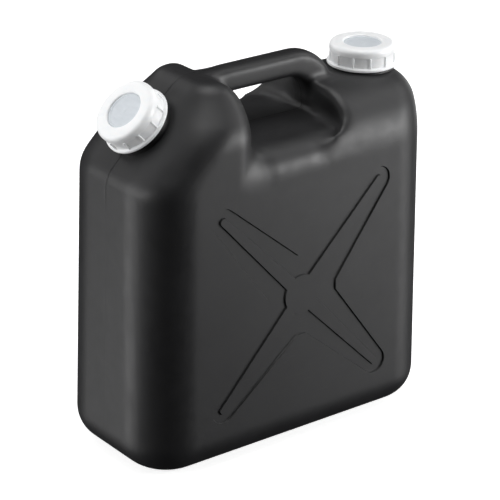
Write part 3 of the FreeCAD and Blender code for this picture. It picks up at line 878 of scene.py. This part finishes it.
@dataclass
class CrossRelief:
    """Crossed relief pressed into both broad sides, its ribs and hub left standing."""

    x: float = 2.0
    z: float = 154.0
    tip_x: float = 91.5
    tip_z: float = 94.5
    tip_r: float = 13.0
    waist: float = 41.0
    flat: float = 10.0
    sink: float = 1.7
    proud: float = 6.0
    draft: float = 0.45
    hub_r: float = 19.5
    rib_hub_w: float = 14.0
    rib_tip_w: float = 7.0

    def arm_tip(self, sx: int, sz: int) -> Vector:
        """Centre of one arm's round tip."""
        return Vector((sx * self.tip_x, 0, sz * self.tip_z))

    def drafted(self, outline: bmesh.types.BMesh, proud: float, deep: float,
                draft: float) -> bpy.types.Mesh:
        """Turn a flat outline on the face into a prism that goes straight out and leans inwards.

        Args:
            outline: Holds one face in the XZ plane; it is freed.
            proud: How far the prism stands out of the face.
            deep: How far it goes into the face.
            draft: How much it narrows per mm of depth; below 0 it widens.

        Returns:
            The prism.
        """
        base = next(iter(outline.faces))
        extrude(outline, base, (0, -proud, 0))
        bmesh.ops.recalc_face_normals(outline, faces=outline.faces)
        bmesh.ops.inset_region(outline, faces=[base], thickness=draft * deep, depth=deep,
                               use_boundary=True, use_even_offset=True)
        return to_mesh(outline, "prism")

    def cross(self) -> bmesh.types.BMesh:
        """Outline of the whole cross as one face."""
        bm = bmesh.new()
        before = None
        start = None
        for index, (sx, sz) in enumerate(((1, 1), (-1, 1), (-1, -1), (1, -1))):
            side = Vector((sx * self.waist, 0, sz * self.flat / 2))
            high = Vector((sx * self.flat / 2, 0, sz * self.waist))
            first, last = (side, high) if index % 2 == 0 else (high, side)
            tip = self.arm_tip(sx, sz)
            touch, leave = self.touch(first, tip, -1.0), self.touch(last, tip, 1.0)
            sweep = (bearing(leave - tip) - bearing(touch - tip)) % (2 * math.pi)
            foot, rise = bm.verts.new(first), bm.verts.new(touch)
            bm.edges.new((foot, rise))
            turned = bmesh.ops.spin(bm, geom=[rise], cent=tip, axis=(0, -1, 0), dvec=(0, 0, 0),
                                    angle=sweep, steps=20)["geom_last"]
            end = next(v for v in turned if isinstance(v, bmesh.types.BMVert))
            back = bm.verts.new(last)
            bm.edges.new((end, back))
            if before:
                bm.edges.new((before, foot))
            else:
                start = foot
            before = back
        bm.edges.new((before, start))
        bmesh.ops.edgeloop_fill(bm, edges=bm.edges)
        return bm

    def touch(self, start: Vector, tip: Vector, side: float) -> Vector:
        """Where a line from a point touches an arm's round tip.

        Args:
            start: The point.
            tip: Centre of the tip.
            side: -1 for the right of the line to the centre, +1 for its left.

        Returns:
            The touching point.
        """
        toward = tip - start
        angle = bearing(toward) + side * math.asin(self.tip_r / toward.length)
        run = math.sqrt(toward.length_squared - self.tip_r ** 2)
        return start + Vector((math.cos(angle), 0, math.sin(angle))) * run

    def hub(self) -> bmesh.types.BMesh:
        """Round hub as one face."""
        bm = bmesh.new()
        bmesh.ops.create_circle(bm, cap_ends=True, radius=self.hub_r, segments=96)
        bmesh.ops.rotate(bm, verts=bm.verts, cent=(0, 0, 0),
                         matrix=Matrix.Rotation(math.pi / 2, 3, "X"))
        return bm

    def bar(self, sz: int) -> bmesh.types.BMesh:
        """One long rib, tip to tip through the hub, as one face."""
        bm = bmesh.new()
        along = self.arm_tip(1, sz)
        out = along.normalized()
        across = Vector((-out.z, 0, out.x))
        reach = out * (along.length + self.rib_tip_w / 2)
        wide, thin = across * (self.rib_hub_w / 2), across * (self.rib_tip_w / 2)
        corners = [wide, thin - reach, -thin - reach, -wide, reach - thin, reach + thin]
        verts = [bm.verts.new(c) for c in corners]
        bm.faces.new(verts)
        for vert in (verts[1], verts[2], verts[4], verts[5]):
            bmesh.ops.bevel(bm, geom=[vert], offset=self.rib_tip_w * 0.46, offset_type="OFFSET",
                            segments=8, profile=0.5, affect="VERTICES", material=-1)
        return bm

    def tool(self, tank: Tank, back: bool) -> bpy.types.Mesh:
        """The recess as a closed cutting tool on one broad side.

        Args:
            tank: Gives the lean of the side.
            back: True for the +Y side.

        Returns:
            The tool, in place, in mm.
        """
        tool = self.drafted(self.cross(), self.proud, self.sink, self.draft)
        for shape in (self.hub(), self.bar(1), self.bar(-1)):
            keep = self.drafted(shape, self.proud + 1.0, self.sink + 1.0, -self.draft)
            tool = combined(tool, keep, Union.CUT)
        lean = Matrix.Rotation(-math.atan(tank.taper_y), 4, "X")
        tool.transform(Matrix.Translation((self.x, -tank.half_depth(self.z), self.z)) @ lean)
        if back:
            tool.transform(Matrix.Scale(-1, 4, (0, 1, 0)))
            tool.flip_normals()
        return tool


@dataclass
class Neck:
    """Threaded neck of one mouth, on its own axis with 0 at the fitted ring's lower edge, mm."""

    bore_r: float = 23.5
    neck_r: float = 27.2
    collar_r: float = 31.0
    collar_top: float = -0.9
    root: float = -16.0
    rim_h: float = 14.3
    rim_round: float = 0.8
    collar_round: float = 2.0
    pitch: float = 6.0
    thread_depth: float = 1.7
    thread_base: float = 2.5
    thread_crest: float = 1.1
    thread_start: float = 4.9
    thread_turns: float = 1.15
    bite: float = 0.25
    bore_depth: float = 42.0

    def mesh(self) -> bpy.types.Mesh:
        """Tube, collar and thread as closed shells."""
        bm = bmesh.new()
        lathe(bm, [(self.bore_r, self.root, 0), (self.collar_r, self.root, 0),
                   (self.collar_r, self.collar_top, self.collar_round),
                   (self.neck_r, self.collar_top, 0.0), (self.neck_r, self.rim_h, self.rim_round),
                   (self.bore_r, self.rim_h, self.rim_round)], 96)
        part = to_mesh(bm, "neck")
        bm = bmesh.new()
        base, crest = self.thread_base / 2, self.thread_crest / 2
        inner, outer = self.neck_r - self.bite, self.neck_r + self.thread_depth
        helix(bm, [(inner, -base), (outer, -crest), (outer, crest), (inner, base)], self.pitch,
              self.thread_turns)
        bmesh.ops.translate(bm, verts=bm.verts, vec=(0, 0, self.thread_start))
        return combined(part, to_mesh(bm, "thread"), Union.ADD)

    def bore(self) -> bpy.types.Mesh:
        """Blind hole under the neck."""
        bm = bmesh.new()
        top = self.rim_h + 4.0
        wide = (self.bore_r + self.neck_r) / 2
        lathe(bm, [(0, top - self.bore_depth - 20, 0), (wide - 8, top - self.bore_depth - 20, 0),
                   (wide, top - self.bore_depth, 0), (wide, top, 0), (0, top, 0)], 96)
        return to_mesh(bm, "bore")


# ---------------------------------------------------------------- closures


@dataclass
class ScrewRing:
    """Screw ring: flanged skirt with grips, drum, and a top plate with a hole, mm on its axis."""

    phase: float = 5.0
    height: float = 21.0
    flange_r: float = 33.8
    flange_h: float = 2.4
    panel_r: float = 31.2
    step_h: float = 12.8
    drum_r: float = 31.7
    drum_round: float = 4.2
    bore_r: float = 29.4
    plate_t: float = 2.8
    hole_r: float = 18.3
    hole_round: float = 1.2
    grips: int = 12
    grip_r: float = 32.5
    grip_w: float = 1.6
    pitch: float = 6.0
    thread_depth: float = 1.7
    thread_start: float = 1.9
    thread_turns: float = 1.15

    def mesh(self) -> bpy.types.Mesh:
        """Shell of revolution with its grips and inner thread."""
        under = self.height - self.plate_t
        bm = bmesh.new()
        lathe(bm, [(self.bore_r, 0, 0.2), (self.flange_r, 0, 0.5),
                   (self.flange_r, self.flange_h, 0.8),
                   (self.panel_r, self.flange_h + 1.0, 0.3), (self.panel_r, self.step_h, 0.3),
                   (self.drum_r, self.step_h + 0.5, 0.4),
                   (self.drum_r, self.height, self.drum_round),
                   (self.hole_r, self.height, self.hole_round), (self.hole_r, under, 0.2),
                   (self.bore_r, under, 0.2)], 144, 7)
        shell = to_mesh(bm, "shell")
        for k in range(self.grips):
            shell = combined(shell, self.grip(k), Union.ADD)
        bm = bmesh.new()
        helix(bm, [(self.bore_r + 0.25, -1.25), (self.bore_r + 0.25, 1.25),
                   (self.bore_r - self.thread_depth, 0.55),
                   (self.bore_r - self.thread_depth, -0.55)], self.pitch, self.thread_turns)
        bmesh.ops.translate(bm, verts=bm.verts, vec=(0, 0, self.thread_start))
        return combined(shell, to_mesh(bm, "thread"), Union.ADD)

    def grip(self, index: int) -> bpy.types.Mesh:
        """One rounded grip rib on the skirt."""
        bm = bmesh.new()
        bmesh.ops.create_cube(bm, size=1.0)
        tall = self.step_h - self.flange_h / 2
        deep = self.grip_r - self.bore_r - 1.0
        bmesh.ops.scale(bm, verts=bm.verts, vec=(deep, self.grip_w, tall))
        bmesh.ops.translate(bm, verts=bm.verts,
                            vec=(self.grip_r - deep / 2, 0, self.flange_h / 2 + tall / 2))
        upright = [e for e in bm.edges
                   if all(v.co.x > self.grip_r - 0.01 for v in e.verts)
                   and e.verts[0].co.y == e.verts[1].co.y]
        bmesh.ops.bevel(bm, geom=upright, offset=self.grip_w * 0.42, offset_type="OFFSET",
                        segments=4, profile=0.5, affect="EDGES", material=-1)
        turn = math.radians(self.phase + 360.0 / self.grips * index)
        bmesh.ops.rotate(bm, verts=bm.verts, cent=(0, 0, 0), matrix=Matrix.Rotation(turn, 3, "Z"))
        return to_mesh(bm, "grip")


@dataclass
class SealingDisc:
    """Disc under the ring's plate, its boss showing through the hole, mm on the mouth's axis."""

    top: float = 17.9
    disc_r: float = 29.0
    disc_t: float = 2.0
    boss_r: float = 17.9
    boss_h: float = 1.5

    def mesh(self) -> bpy.types.Mesh:
        """Disc with a boss, a shallow dish and a moulding gate."""
        bm = bmesh.new()
        high = self.top + self.boss_h
        lathe(bm, [(0, self.top - self.disc_t, 0), (self.disc_r, self.top - self.disc_t, 0.3),
                   (self.disc_r, self.top, 0.5), (self.boss_r, self.top, 0.2),
                   (self.boss_r, high, 0.4), (self.boss_r - 1.6, high, 0.2),
                   (self.boss_r - 2.2, high - 0.5, 0.3), (2.2, high - 0.5, 0.2),
                   (1.6, high - 0.2, 0.2), (0, high - 0.2, 0)], 144, 4)
        return to_mesh(bm, "disc")


@dataclass
class Gasket:
    """Flat rubber ring between the disc and the neck's rim, mm on the mouth's axis."""

    low: float = 14.3
    thick: float = 1.6
    out_r: float = 28.6
    in_r: float = 22.6

    def mesh(self) -> bpy.types.Mesh:
        """Ring with rounded edges."""
        bm = bmesh.new()
        high = self.low + self.thick
        lathe(bm, [(self.in_r, self.low, 0.4), (self.out_r, self.low, 0.4),
                   (self.out_r, high, 0.4), (self.in_r, high, 0.4)], 144, 4)
        return to_mesh(bm, "gasket")


# ---------------------------------------------------------------- studio


@dataclass(frozen=True)
class SoftBox:
    """One large soft lamp that faces the can."""

    name: str
    azimuth: float
    elevation: float
    distance: float
    width: float
    height: float
    power: float

    def build(self, target: Vector) -> None:
        """Hang the lamp.

        Args:
            target: Point that it faces.
        """
        data = bpy.data.lights.new(self.name, "AREA")
        data.shape = "RECTANGLE"
        data.size = self.width
        data.size_y = self.height
        data.energy = self.power
        lamp = bpy.data.objects.new(self.name, data)
        bpy.context.scene.collection.objects.link(lamp)
        away = direction(self.azimuth, self.elevation)
        lamp.location = target + away * self.distance
        lamp.rotation_euler = away.to_track_quat("Z", "Y").to_euler()


def direction(azimuth: float, elevation: float) -> Vector:
    """Unit vector from the can; azimuth 0 is in front, 90 at the +X end, in degrees."""
    a, e = math.radians(azimuth), math.radians(elevation)
    return Vector((math.sin(a) * math.cos(e), -math.cos(a) * math.cos(e), math.sin(e)))


@dataclass
class Studio:
    """Camera, floor and soft light."""

    azimuth: float = -38.05
    elevation: float = 23.67
    distance: float = 2.285
    target: Vector = Vector((0.0, 0.0, 0.172))
    roll: float = 1.08
    lens: float = 172.2
    floor_size: float = 40.0
    room: float = 0.02
    lamps: tuple[SoftBox, ...] = (
        SoftBox("left", -120.0, 12.0, 2.0, 0.9, 1.0, 12.0),
        SoftBox("left_side", -90.0, 12.0, 2.0, 0.9, 1.0, 10.0),
        SoftBox("left_high", -120.0, 42.0, 2.0, 1.0, 0.9, 2.6),
        SoftBox("left_bounce", -120.0, -22.0, 2.0, 1.0, 0.8, 9.0),
        SoftBox("right", 45.0, 12.0, 2.0, 0.9, 1.0, 31.0),
        SoftBox("right_high", 75.0, 42.0, 2.0, 1.0, 0.9, 7.0),
        SoftBox("right_bounce", 54.0, -17.0, 2.0, 1.0, 0.8, 6.6),
        SoftBox("top", 0.0, 89.0, 2.0, 1.4, 1.4, 21.0),
        SoftBox("back", -168.0, 38.0, 2.2, 1.4, 1.0, 5.0),
        SoftBox("right_rim", 112.0, 0.0, 2.0, 0.8, 1.0, 4.0),
    )

    def camera(self) -> None:
        """Place the camera on the can's front left."""
        data = bpy.data.cameras.new("camera")
        data.lens = self.lens
        data.sensor_width = 36.0
        data.clip_end = 100.0
        data.dof.use_dof = False
        camera = bpy.data.objects.new("camera", data)
        bpy.context.scene.collection.objects.link(camera)
        back = direction(self.azimuth, self.elevation)
        camera.location = self.target + back * self.distance
        turn = back.to_track_quat("Z", "Y").to_matrix()
        camera.rotation_euler = (turn @ Matrix.Rotation(math.radians(self.roll), 3, "Z")).to_euler()
        bpy.context.scene.camera = camera

    def floor(self) -> None:
        """Lay the floor."""
        bm = bmesh.new()
        bmesh.ops.create_grid(bm, x_segments=4, y_segments=4, size=self.floor_size / 2)
        mesh = bpy.data.meshes.new("floor")
        bm.to_mesh(mesh)
        bm.free()
        mesh.materials.append(PaleFloor().material())
        floor = bpy.data.objects.new("floor", mesh)
        floor.location.z = CAD_BOX[0].z - 0.0002
        floor.visible_glossy = False
        floor.visible_diffuse = False
        floor.visible_shadow = False
        bpy.context.scene.collection.objects.link(floor)

    def light(self) -> None:
        """Hang the lamps in a pale room."""
        world = bpy.data.worlds.new("room")
        world.use_nodes = True
        glow = world.node_tree.nodes["Background"].inputs
        glow["Color"].default_value = (1, 1, 1, 1)
        glow["Strength"].default_value = self.room
        bpy.context.scene.world = world
        for lamp in self.lamps:
            lamp.build(self.target)
        view = bpy.context.scene.view_settings
        view.view_transform = "Standard"


# ---------------------------------------------------------------- can


@dataclass
class JerryCan:
    """The whole can."""

    tank: Tank
    relief: CrossRelief
    neck: Neck

    def build(self) -> None:
        """Build every piece in order."""
        self.build_tank()
        for mouth in Mouth:
            self.build_closure(mouth)

    def seat(self, mouth: Mouth) -> Matrix:
        """Matrix of one mouth, in mm."""
        return mouth.seat(ScrewRing.height, ScrewRing.flange_r)

    def build_tank(self) -> None:
        """Skin, relief, bores and necks as one piece."""
        skin = self.tank.skin()
        for back in (False, True):
            skin = combined(skin, self.relief.tool(self.tank, back), Union.CUT)
        for mouth in Mouth:
            bore = self.neck.bore()
            bore.transform(self.seat(mouth))
            skin = combined(skin, bore, Union.CUT)
            neck = self.neck.mesh()
            neck.transform(self.seat(mouth))
            skin = combined(skin, neck, Union.ADD)
        put_in_frame(skin, "tank_skin", "tank", ["tank"],
                     BlackPolyethylene().material(), SHARP)

    def build_closure(self, mouth: Mouth) -> None:
        """Ring, disc and gasket of one mouth."""
        place = self.seat(mouth)
        # Both the white ring plastic and the grey disc plastic carry the faint painted glow of
        # their emission.
        white = MilkyPolyethylene()
        grey = MilkyPolyethylene("grey_polyethylene", (0.56, 0.60, 0.64), (0.63, 0.67, 0.71))
        parts = (
            (ScrewRing(), "ring", "ring", "screw_ring", "cap_white", white),
            (SealingDisc(), "disc", "seal", "sealing_disc", "disc_grey", grey),
            (Gasket(), "seal_ring", "seal", "gasket", "gasket_rubber", SoftRubber()),
        )
        for part, name, body, node, slot, finish in parts:
            mesh = part.mesh()
            mesh.transform(place)
            put_in_frame(mesh, mouth.node(name), mouth.node(body), [mouth.node(node)],
                         finish.material(), SHARP)


def main() -> None:
    """Set the studio up, then build the can."""
    logging.basicConfig(level=logging.INFO, format="%(name)s: %(message)s")
    studio = Studio()
    studio.camera()
    studio.floor()
    studio.light()
    JerryCan(Tank(), CrossRelief(), Neck()).build()


if __name__ == "__main__":
    main()
